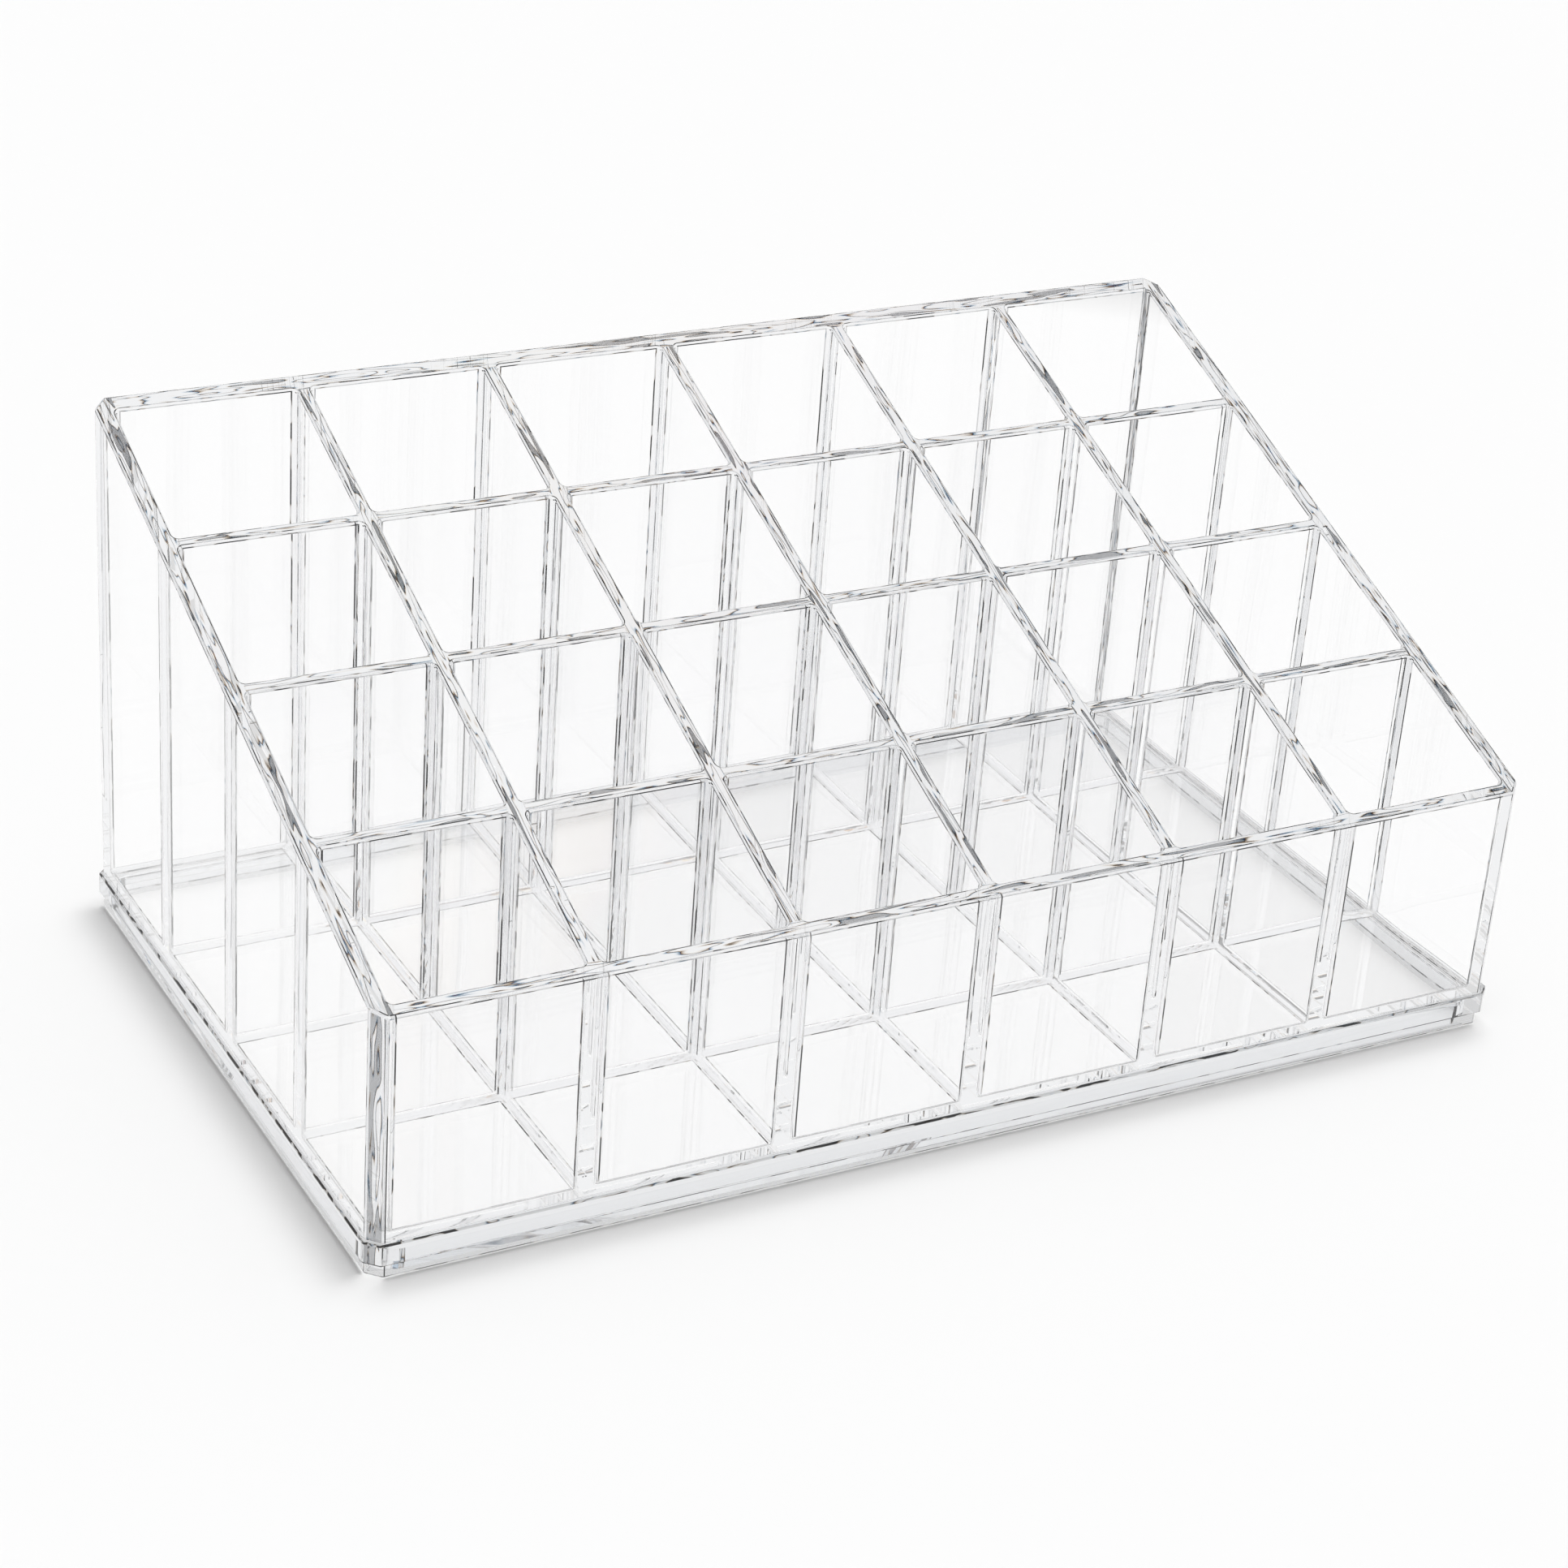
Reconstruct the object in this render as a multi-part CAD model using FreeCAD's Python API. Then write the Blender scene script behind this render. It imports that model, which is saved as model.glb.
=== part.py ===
import FreeCAD, Part
import math
import os

# Overall size of the walls, in mm
body_width = 233.6
body_depth = 141.0
back_height = 105.5
front_height = 50.8

# Walls and dividers
side_wall = 3.5
back_wall = 3.6
front_wall = 2.6
long_divider = 2.8
cross_divider = 2.2
cells_across = 6
cells_deep = 4

# Rounding inside the cells
cell_corner_radius = 1.1
floor_edge_share = 0.9
floor_edge_radius = cell_corner_radius * floor_edge_share
land_straight = 0.5

# Bevelled outer corners
chamfer_share = 0.7
corner_chamfer = side_wall * chamfer_share

# Plinth: proud band over a set-in foot
ledge_height = 7.0
foot_share = 0.385
foot_height = ledge_height * foot_share
band_proud = 0.7
skirt_share = 0.86
skirt_thickness = side_wall * skirt_share
plinth_corner_radius = 4.0

# Floor plate
plug_depth = 1.8
plug_gap = 0.3
floor_rise = 0.6
floor_level = ledge_height + floor_rise
land_level = floor_level + floor_edge_radius + land_straight

# Places that follow from the sizes above
half_width = body_width / 2
half_depth = body_depth / 2
inner_width = body_width - side_wall * 2
inner_depth = body_depth - back_wall - front_wall
cell_width = (inner_width - long_divider * (cells_across - 1)) / cells_across
cell_depth = (inner_depth - cross_divider * (cells_deep - 1)) / cells_deep
column_pitch = cell_width + long_divider
row_pitch = cell_depth + cross_divider
rim_slope = (back_height - front_height) / body_depth
up = FreeCAD.Vector(0, 0, 1)
nowhere = FreeCAD.Vector(0, 0, 0)


def point(x, y):
    return FreeCAD.Vector(x, y, 0)


def rim_height(y):
    return front_height + rim_slope * (y + half_depth)


def column_centre(column):
    return side_wall + cell_width / 2 + column * column_pitch - half_width


def row_centre(row):
    return half_depth - back_wall - cell_depth / 2 - row * row_pitch


def prism(edges, bottom, top):
    """Solid over a closed plan outline, from one height to another."""
    wire = Part.Wire(Part.__sortEdges__(edges))
    solid = Part.Face(wire).extrude(up * (top - bottom))
    solid.translate(up * bottom)
    return solid


def straight(start, end):
    return Part.LineSegment(start, end).toShape()


def polygon(corners):
    return [straight(a, b) for a, b in zip(corners, corners[1:] + corners[:1])]


def flare(tip, foot):
    """Concave quarter circle from the tip on an end face to the foot on a long face."""
    centre = point(foot.x, tip.y)
    middle = centre + (tip - centre + foot - centre) * math.sqrt(0.5)
    return Part.Arc(tip, middle, foot).toShape()


def flared_face(length, face, reach):
    """One long face of a panel that spreads at both ends, by the reach and to its side."""
    half = length / 2
    inset = half - abs(reach)
    left_tip = point(-half, face + reach)
    left_foot = point(-inset, face)
    right_foot = point(inset, face)
    right_tip = point(half, face + reach)
    return [flare(left_tip, left_foot), straight(left_foot, right_foot), flare(right_tip, right_foot)]


def flared_ends(length, low, high):
    half = length / 2
    left = straight(point(-half, low), point(-half, high))
    right = straight(point(half, low), point(half, high))
    return [left, right]


def divider(length, thickness):
    """Panel along X that spreads on both faces where it meets its neighbours."""
    half = thickness / 2
    edges = flared_face(length, half, cell_corner_radius)
    edges += flared_face(length, -half, -cell_corner_radius)
    edges += flared_ends(length, -half - cell_corner_radius, half + cell_corner_radius)
    return prism(edges, land_level, back_height)


def lining(length, thickness, radius):
    """Plan outline along X, flat outside at zero and spreading only on its inner face."""
    half = length / 2
    edges = flared_face(length, thickness, radius)
    edges += flared_ends(length, 0, thickness + radius)
    edges.append(straight(point(-half, 0), point(half, 0)))
    return edges


def bevelled_bar(length, thickness, chamfer):
    """Plan outline along X, flat inside and bevelled at both outer corners, outside at zero."""
    half = length / 2
    corners = [
        point(-half, thickness),
        point(-half, chamfer),
        point(chamfer - half, 0),
        point(half - chamfer, 0),
        point(half, chamfer),
        point(half, thickness),
    ]
    return polygon(corners)


def turned(shape, degrees, x, y):
    """Copy turned about the upright axis and then moved to its place."""
    placed = shape.copy()
    placed.rotate(nowhere, up, degrees)
    placed.translate(point(x, y))
    return placed


def body_outline(proud):
    """The eight-sided plan of the walls, or of a band that stands proud of them."""
    x = half_width + proud
    y = half_depth + proud
    corners = []
    for side_x, side_y in ((-1, -1), (1, -1), (1, 1), (-1, 1)):
        on_end = point(side_x * x, side_y * (y - corner_chamfer))
        on_front = point(side_x * (x - corner_chamfer), side_y * y)
        corners += [on_end, on_front] if side_x * side_y > 0 else [on_front, on_end]
    return polygon(corners)


def rounded_block(width, depth, bottom, top, radius):
    """Upright block centred on the origin with rounded upright edges."""
    block = Part.makeBox(width, depth, top - bottom, FreeCAD.Vector(-width / 2, -depth / 2, bottom))
    upright = [edge for edge in block.Edges if abs(edge.tangentAt(edge.FirstParameter).z) > 0.5]
    return block.makeFillet(radius, upright)


def under_rim(shape):
    """Cut away whatever stands above the sloping rim."""
    corners = [
        FreeCAD.Vector(-body_width, -body_depth, rim_height(-body_depth)),
        FreeCAD.Vector(-body_width, body_depth, rim_height(body_depth)),
        FreeCAD.Vector(-body_width, -body_depth, rim_height(body_depth)),
    ]
    wedge = Part.Face(Part.Wire(polygon(corners))).extrude(FreeCAD.Vector(body_width * 2, 0, 0))
    return shape.cut(wedge)


# Plinth strips: the band and the foot under it are one extrusion
def strip(outline, length, thickness):
    """Stepped strip along X, outer face of its foot at zero."""
    band = prism(outline(length, thickness, band_proud), foot_height, ledge_height)
    foot = prism(outline(length, thickness, 0), 0, foot_height)
    return band.fuse(foot).removeSplitter()


def long_strip(length, thickness, proud):
    edges = bevelled_bar(length + proud * 2, thickness + proud, corner_chamfer)
    return [edge.translated(point(0, -proud)) for edge in edges]


def short_strip(length, thickness, proud):
    edges = lining(length, thickness + proud, plinth_corner_radius)
    return [edge.translated(point(0, -proud)) for edge in edges]


pieces = {}
front_strip = strip(long_strip, body_width, skirt_thickness)
side_strip = strip(short_strip, body_depth - skirt_thickness * 2, skirt_thickness)
pieces["base_strip_front"] = turned(front_strip, 0, 0, -half_depth)
pieces["base_strip_back"] = turned(front_strip, 180, 0, half_depth)
pieces["base_strip_left"] = turned(side_strip, -90, -half_width, 0)
pieces["base_strip_right"] = turned(side_strip, 90, half_width, 0)

# Floor plate, with one pocket for each cell
plate = prism(body_outline(0), ledge_height, land_level)
inset = skirt_thickness + plug_gap
plug_width = body_width - inset * 2
plug_length = body_depth - inset * 2
plug_radius = plinth_corner_radius - plug_gap
plug_bottom = ledge_height - plug_depth
plug = rounded_block(plug_width, plug_length, plug_bottom, ledge_height, plug_radius)
pocket = rounded_block(cell_width, cell_depth, floor_level, land_level, cell_corner_radius)
floor_edges = [edge for edge in pocket.Edges if edge.BoundBox.ZMax - floor_level < land_straight / 2]
pocket = pocket.makeFillet(floor_edge_radius, floor_edges)
pockets = []
for column in range(cells_across):
    for row in range(cells_deep):
        pockets.append(turned(pocket, 0, column_centre(column), row_centre(row)))
pieces["floor_plate"] = plate.fuse(plug).cut(Part.makeCompound(pockets))

# Outer walls
side_panel = prism(bevelled_bar(body_depth, side_wall, corner_chamfer), land_level, back_height)
pieces["side_wall_left"] = under_rim(turned(side_panel, -90, -half_width, 0))
pieces["side_wall_right"] = under_rim(turned(side_panel, 90, half_width, 0))
front_panel = prism(lining(inner_width, front_wall, cell_corner_radius), land_level, back_height)
back_panel = prism(lining(inner_width, back_wall, cell_corner_radius), land_level, back_height)
pieces["front_wall"] = under_rim(turned(front_panel, 0, 0, -half_depth))
pieces["back_wall"] = under_rim(turned(back_panel, 180, 0, half_depth))

# Dividers
long_panel = divider(inner_depth, long_divider)
long_middle = (front_wall - back_wall) / 2
for number in range(1, cells_across):
    x = column_centre(number) - column_pitch / 2
    pieces[f"long_divider_{number}"] = under_rim(turned(long_panel, 90, x, long_middle))
cross_panel = divider(cell_width, cross_divider)
for row in range(1, cells_deep):
    y = row_centre(row) + row_pitch / 2
    for column in range(cells_across):
        name = f"cross_divider_{row}_{column + 1}"
        pieces[name] = under_rim(turned(cross_panel, 0, column_centre(column), y))

os.makedirs("parts", exist_ok=True)
for name, shape in pieces.items():
    shape.exportStep(f"parts/{name}.step")
    print(name, shape.isValid(), len(shape.Solids), round(shape.Volume))
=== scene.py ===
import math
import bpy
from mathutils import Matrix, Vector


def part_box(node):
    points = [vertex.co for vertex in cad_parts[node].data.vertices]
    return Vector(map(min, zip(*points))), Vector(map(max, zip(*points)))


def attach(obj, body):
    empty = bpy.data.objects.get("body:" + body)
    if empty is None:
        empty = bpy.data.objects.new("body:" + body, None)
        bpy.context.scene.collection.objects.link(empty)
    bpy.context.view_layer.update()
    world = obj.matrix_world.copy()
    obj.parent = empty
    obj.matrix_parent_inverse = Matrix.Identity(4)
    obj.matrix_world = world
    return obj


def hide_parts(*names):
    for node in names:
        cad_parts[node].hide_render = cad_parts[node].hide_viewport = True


bl_info = {
    "name": "Vanity organizer",
    "version": (1, 0, 0),
    "blender": (4, 5, 0),
    "location": "3D View > Sidebar > Organizer",
    "description": "Builds a clear vanity organizer with a sloping rim around its packed frame",
    "category": "Object",
}

import bmesh
import bpy
from bpy.props import FloatProperty, FloatVectorProperty, IntProperty, PointerProperty
from mathutils import Matrix, Vector

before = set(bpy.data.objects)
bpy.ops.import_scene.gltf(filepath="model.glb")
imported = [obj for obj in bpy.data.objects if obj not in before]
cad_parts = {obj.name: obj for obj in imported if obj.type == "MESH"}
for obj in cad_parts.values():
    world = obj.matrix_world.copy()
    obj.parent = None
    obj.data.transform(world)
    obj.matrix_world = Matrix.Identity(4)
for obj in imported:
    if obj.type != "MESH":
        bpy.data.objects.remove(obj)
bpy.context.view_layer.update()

MM = 0.001
PHOTO_WIDTH = 1932

# Sizes of the frame that the pieces have to meet
SIDE_LOW, SIDE_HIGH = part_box("side_wall_left")
BODY_WIDTH = -2 * SIDE_LOW.x
BODY_DEPTH = SIDE_HIGH.y - SIDE_LOW.y
BACK_HEIGHT = SIDE_HIGH.z
SIDE_WALL = SIDE_HIGH.x - SIDE_LOW.x
LAND_LEVEL = SIDE_LOW.z
STRIP_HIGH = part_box("base_strip_front")[1]
BAND_PROUD = STRIP_HIGH.x - BODY_WIDTH / 2
LEDGE_HEIGHT = STRIP_HIGH.z
FLOOR_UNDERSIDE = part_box("floor_plate")[0].z

# Sizes that the boxes of the frame don't show, as in the part's source
FRONT_HEIGHT = 50.8 * MM
BACK_WALL = 3.6 * MM
FRONT_WALL = 2.6 * MM
LONG_DIVIDER = 2.8 * MM
CROSS_DIVIDER = 2.2 * MM
CELLS_ACROSS = 6
CELLS_DEEP = 4
CORNER_CHAMFER = 2.45 * MM
FOOT_HEIGHT = 2.7 * MM
FLOOR_LEVEL = 7.6 * MM
SKIRT = 3.0 * MM

# Places that follow
HALF_WIDTH = BODY_WIDTH / 2
HALF_DEPTH = BODY_DEPTH / 2
INNER_WIDTH = BODY_WIDTH - SIDE_WALL * 2
INNER_DEPTH = BODY_DEPTH - BACK_WALL - FRONT_WALL
CELL_WIDTH = (INNER_WIDTH - LONG_DIVIDER * (CELLS_ACROSS - 1)) / CELLS_ACROSS
CELL_DEPTH = (INNER_DEPTH - CROSS_DIVIDER * (CELLS_DEEP - 1)) / CELLS_DEEP
COLUMN_PITCH = CELL_WIDTH + LONG_DIVIDER
ROW_PITCH = CELL_DEPTH + CROSS_DIVIDER
RIM_SLOPE = (BACK_HEIGHT - FRONT_HEIGHT) / BODY_DEPTH
INNER_X = HALF_WIDTH - SIDE_WALL
FRONT_Y = FRONT_WALL - HALF_DEPTH
BACK_Y = HALF_DEPTH - BACK_WALL

# Working allowances
REACH = 20 * MM
STUB = 0.3 * MM
CLOSE = 0.02 * MM
SNAP = CLOSE / 100
NARROW_FACE = 0.2 * MM
SHARP_ANGLE = math.radians(25)
SMOOTH_ANGLE = math.radians(35)
FLAT_COSINE = math.cos(math.radians(1))
EDGE_COSINE = math.cos(math.radians(14.5))
MIDDLE_COSINE = math.cos(math.radians(35))

# Cuts between the pieces
FAR_X = HALF_WIDTH + REACH
FAR_Y = HALF_DEPTH + REACH
PLUG_X = HALF_WIDTH - SKIRT - STUB * 2
PLUG_Y = HALF_DEPTH - SKIRT - STUB * 2
PLINTH_SEAM = LEDGE_HEIGHT + STUB
PLATE_SEAM = FLOOR_UNDERSIDE - STUB
WALLS_BOTTOM = LAND_LEVEL - REACH
WALLS_TOP = BACK_HEIGHT + REACH

# Flats that make up each rounding
EDGE_STEPS = 3
RIM_STEPS = 4
FLOOR_EDGE_STEPS = 6
CEILING_ROUND_SHARE = 3

# Noise of the painted shade streaks and their painted colour fringes, the flow marks and the room
STREAK_SETTINGS = {"Streak Share": 0.5, "Line Step": 0.09, "Line Width": 0.038, "Colour Split": 0.002}
STREAK_DETAIL = 1.0
STREAK_WARP = 0.3
STREAK_SOFTNESS = 0.02
FLOW_SCALE = 25.0
GAP_BORDER = 0.06

# Stage
FLOOR_SIZE = 12.0
SHEET_END_SHARE = 1.25
CLIP_START = 10 * MM
CLEAR_BOUNCES = 40
MIRROR_BOUNCES = 16
SHADOW_WALLS = 128


def column_centre(column):
    return SIDE_WALL + CELL_WIDTH / 2 + column * COLUMN_PITCH - HALF_WIDTH


def row_centre(row):
    return HALF_DEPTH - BACK_WALL - CELL_DEPTH / 2 - row * ROW_PITCH


# Things made on the way, shared by the operators
work = {}
RUNS = ("across", "along", "upright")
FINISHES = ("clear", "seam", "corner", *("rim_" + run for run in RUNS), *("edge_" + run for run in RUNS))
SLOTS = {name: number for number, name in enumerate(FINISHES)}


# Mesh tools
def deselect_all():
    if bpy.context.object and bpy.context.object.mode != "OBJECT":
        bpy.ops.object.mode_set(mode="OBJECT")
    bpy.ops.object.select_all(action="DESELECT")


def activate(piece):
    deselect_all()
    piece.select_set(True)
    bpy.context.view_layer.objects.active = piece


def add_block(name, low, high):
    """Box between two corners, with its place in its mesh and all the finishes in its slots."""
    deselect_all()
    low, high = Vector(low), Vector(high)
    bpy.ops.mesh.primitive_cube_add(size=1, location=(low + high) / 2, scale=high - low)
    block = bpy.context.object
    block.name = name
    bpy.ops.object.transform_apply(location=True, rotation=True, scale=True)
    for finish in FINISHES:
        block.data.materials.append(work["finishes"][finish])
    return block


def bevel_edges(piece, chosen, offset, segments=1):
    """Round the edges that the test picks, in edit mode."""
    activate(piece)
    bpy.ops.object.mode_set(mode="EDIT")
    bpy.ops.mesh.select_mode(type="EDGE")
    bpy.ops.mesh.select_all(action="DESELECT")
    mesh = bmesh.from_edit_mesh(piece.data)
    for edge in mesh.edges:
        edge.select_set(chosen(edge))
    mesh.select_flush_mode()
    bmesh.update_edit_mesh(piece.data)
    bpy.ops.mesh.bevel(offset_type="OFFSET", offset=offset, segments=segments, affect="EDGES")
    bpy.ops.object.mode_set(mode="OBJECT")


def is_upright(edge):
    a, b = (vert.co for vert in edge.verts)
    return abs(a.x - b.x) < CLOSE and abs(a.y - b.y) < CLOSE


def is_level_at(height):
    def test(edge):
        return all(abs(vert.co.z - height) < CLOSE for vert in edge.verts)

    return test


def is_sharp(edge):
    return edge.is_manifold and edge.calc_face_angle() > SHARP_ANGLE


def rim_gap(point):
    """Height of a point over the sloping rim plane."""
    return point.z - FRONT_HEIGHT - RIM_SLOPE * (point.y + HALF_DEPTH)


def is_rim(edge):
    return is_sharp(edge) and all(abs(rim_gap(vert.co)) < CLOSE for vert in edge.verts)


def apply_modifier(piece, kind, **settings):
    activate(piece)
    bpy.ops.object.modifier_add(type=kind)
    modifier = piece.modifiers[-1]
    for key, value in settings.items():
        setattr(modifier, key, value)
    bpy.ops.object.modifier_apply(modifier=modifier.name)


def cut(piece, tool, operation):
    """Boolean with a tool that is then thrown away."""
    apply_modifier(piece, "BOOLEAN", operation=operation, solver="EXACT", object=tool)
    drop(tool)


def drop(piece):
    mesh = piece.data
    bpy.data.objects.remove(piece)
    bpy.data.meshes.remove(mesh)


def copy_of(piece, name):
    twin = piece.copy()
    twin.data = piece.data.copy()
    twin.name = name
    bpy.context.scene.collection.objects.link(twin)
    return twin


# Materials
def add_math(tree, operation, first, second=None):
    """Math node on two values or sockets; its result socket."""
    made = tree.nodes.new("ShaderNodeMath")
    made.operation = operation
    for socket, value in zip(made.inputs, (first, second)):
        if isinstance(value, bpy.types.NodeSocket):
            tree.links.new(value, socket)
        elif value is not None:
            socket.default_value = value
    return made.outputs[0]


def add_ramp(tree, value, start, end, low, high):
    """Smooth step between two values of a socket; its result socket."""
    made = tree.nodes.new("ShaderNodeMapRange")
    made.interpolation_type = "SMOOTHSTEP"
    parts = {"Value": value, "From Min": start, "From Max": end, "To Min": low, "To Max": high}
    for name, part in parts.items():
        if isinstance(part, bpy.types.NodeSocket):
            tree.links.new(part, made.inputs[name])
        else:
            made.inputs[name].default_value = part
    return made.outputs["Result"]


def mould_flow_group():
    """Slow waves in the surface of a moulded clear plastic."""
    group = bpy.data.node_groups.new("mould_flow", "ShaderNodeTree")
    scale = group.interface.new_socket("Flow Scale", in_out="INPUT", socket_type="NodeSocketFloat")
    scale.default_value = FLOW_SCALE
    group.interface.new_socket("Height", in_out="OUTPUT", socket_type="NodeSocketFloat")
    enter = group.nodes.new("NodeGroupInput")
    leave = group.nodes.new("NodeGroupOutput")
    place = group.nodes.new("ShaderNodeTexCoord")
    waves = group.nodes.new("ShaderNodeTexNoise")
    waves.inputs["Detail"].default_value = 0.0
    group.links.new(place.outputs["Object"], waves.inputs["Vector"])
    group.links.new(enter.outputs["Flow Scale"], waves.inputs["Scale"])
    group.links.new(waves.outputs["Fac"], leave.inputs["Height"])
    return group


def painted_streak_group():
    """Painted shade in place of refraction lines: drawn-out streaks with thin dark lines between them, whose
    borders split into faint painted colour fringes.
    """
    group = bpy.data.node_groups.new("painted_shade_streaks", "ShaderNodeTree")
    group.interface.new_socket("Place", in_out="INPUT", socket_type="NodeSocketVector")
    for name, value in STREAK_SETTINGS.items():
        group.interface.new_socket(name, in_out="INPUT", socket_type="NodeSocketFloat").default_value = value
    # Greys of the painted shade: between the streaks, in them and in the thin dark lines; the Tint output
    # carries this painted shade
    for name in ("Pale", "Streak", "Line"):
        group.interface.new_socket(name, in_out="INPUT", socket_type="NodeSocketColor")
    group.interface.new_socket("Tint", in_out="OUTPUT", socket_type="NodeSocketColor")
    enter = group.nodes.new("NodeGroupInput")
    leave = group.nodes.new("NodeGroupOutput")
    noise = group.nodes.new("ShaderNodeTexNoise")
    noise.inputs["Scale"].default_value = 1.0
    noise.inputs["Detail"].default_value = STREAK_DETAIL
    noise.inputs["Distortion"].default_value = STREAK_WARP
    group.links.new(enter.outputs["Place"], noise.inputs["Vector"])
    # Mask of the painted dark streaks
    share = enter.outputs["Streak Share"]
    middle = add_math(group, "SUBTRACT", share, STREAK_SOFTNESS)
    dark = add_ramp(group, noise.outputs["Fac"], middle, share, 1.0, 0.0)
    banded = group.nodes.new("ShaderNodeMix")
    banded.data_type = "RGBA"
    group.links.new(dark, banded.inputs["Factor"])
    group.links.new(enter.outputs["Pale"], banded.inputs["A"])
    group.links.new(enter.outputs["Streak"], banded.inputs["B"])
    # Thin dark lines of painted shade, shifted per channel into painted colour fringes
    lines = group.nodes.new("ShaderNodeCombineColor")
    for channel, side in (("Red", -1), ("Green", 0), ("Blue", 1)):
        shift = add_math(group, "MULTIPLY", enter.outputs["Colour Split"], side)
        off = add_math(group, "SUBTRACT", noise.outputs["Fac"], add_math(group, "ADD", middle, shift))
        level = add_math(group, "PINGPONG", off, enter.outputs["Line Step"])
        line = add_ramp(group, level, 0.0, enter.outputs["Line Width"], 0.0, 1.0)
        group.links.new(line, lines.inputs[channel])
    painted_line_shade = group.nodes.new("ShaderNodeMix")
    painted_line_shade.data_type = "RGBA"
    painted_line_shade.blend_type = "LIGHTEN"
    painted_line_shade.inputs["Factor"].default_value = 1.0
    group.links.new(lines.outputs["Color"], painted_line_shade.inputs["A"])
    group.links.new(enter.outputs["Line"], painted_line_shade.inputs["B"])
    both = group.nodes.new("ShaderNodeMix")
    both.data_type = "RGBA"
    both.blend_type = "MULTIPLY"
    both.inputs["Factor"].default_value = 1.0
    group.links.new(banded.outputs["Result"], both.inputs["A"])
    group.links.new(painted_line_shade.outputs["Result"], both.inputs["B"])
    group.links.new(both.outputs["Result"], leave.inputs["Tint"])
    return group


def clear_plastic(name, shadow_colour=None):
    """Clear moulded plastic that lets its shadow through; its material and shader."""
    material = bpy.data.materials.new(name)
    material.use_nodes = True
    tree = material.node_tree
    tree.nodes.clear()
    link = tree.links.new
    settings = bpy.context.scene.organizer_finish
    shader = tree.nodes.new("ShaderNodeBsdfPrincipled")
    shader.inputs["Base Color"].default_value = (*settings.clear_colour, 1)
    shader.inputs["IOR"].default_value = settings.refraction
    shader.inputs["Roughness"].default_value = settings.roughness
    shader.inputs["Transmission Weight"].default_value = 1.0
    flow = tree.nodes.new("ShaderNodeGroup")
    flow.node_tree = work["flow"]
    bump = tree.nodes.new("ShaderNodeBump")
    bump.inputs["Strength"].default_value = settings.flow_strength
    bump.inputs["Distance"].default_value = MM
    path = tree.nodes.new("ShaderNodeLightPath")
    open_way = tree.nodes.new("ShaderNodeBsdfTransparent")
    open_way.inputs["Color"].default_value = (*(shadow_colour or settings.shadow_colour), 1)
    mix = tree.nodes.new("ShaderNodeMixShader")
    trapped = tree.nodes.new("ShaderNodeEmission")
    trapped.inputs["Color"].default_value = (*settings.trapped_light, 1)
    spent = tree.nodes.new("ShaderNodeMixShader")
    out = tree.nodes.new("ShaderNodeOutputMaterial")
    link(flow.outputs["Height"], bump.inputs["Height"])
    link(bump.outputs["Normal"], shader.inputs["Normal"])
    straight_on = add_math(tree, "MAXIMUM", path.outputs["Is Shadow Ray"], path.outputs["Is Diffuse Ray"])
    too_deep = add_math(tree, "GREATER_THAN", path.outputs["Ray Depth"], settings.deepest_path)
    link(straight_on, mix.inputs["Fac"])
    link(shader.outputs[0], mix.inputs[1])
    link(open_way.outputs[0], mix.inputs[2])
    link(too_deep, spent.inputs["Fac"])
    link(mix.outputs[0], spent.inputs[1])
    link(trapped.outputs[0], spent.inputs[2])
    link(spent.outputs[0], out.inputs["Surface"])
    return material, shader


def plastic_with_painted_streaks(name, turn, stretch, share, pale, painted_streak_grey):
    """Clear plastic with painted shade streaks drawn out along its run."""
    material, shader = clear_plastic(name)
    tree = material.node_tree
    settings = bpy.context.scene.organizer_finish
    place = tree.nodes.new("ShaderNodeTexCoord")
    run = tree.nodes.new("ShaderNodeMapping")
    run.vector_type = "TEXTURE"
    run.inputs["Rotation"].default_value = (turn, 0, 0)
    run.inputs["Scale"].default_value = stretch
    # The painted shade streaks go into the base colour
    streaks = tree.nodes.new("ShaderNodeGroup")
    streaks.node_tree = work["streaks"]
    streaks.inputs["Streak Share"].default_value = share
    streaks.inputs["Pale"].default_value = (*pale, 1)
    streaks.inputs["Streak"].default_value = (*painted_streak_grey, 1)
    streaks.inputs["Line"].default_value = (*settings.line_painted_shade, 1)
    tree.links.new(place.outputs["Object"], run.inputs["Vector"])
    tree.links.new(run.outputs["Vector"], streaks.inputs["Place"])
    tree.links.new(streaks.outputs["Tint"], shader.inputs["Base Color"])
    return material


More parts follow.
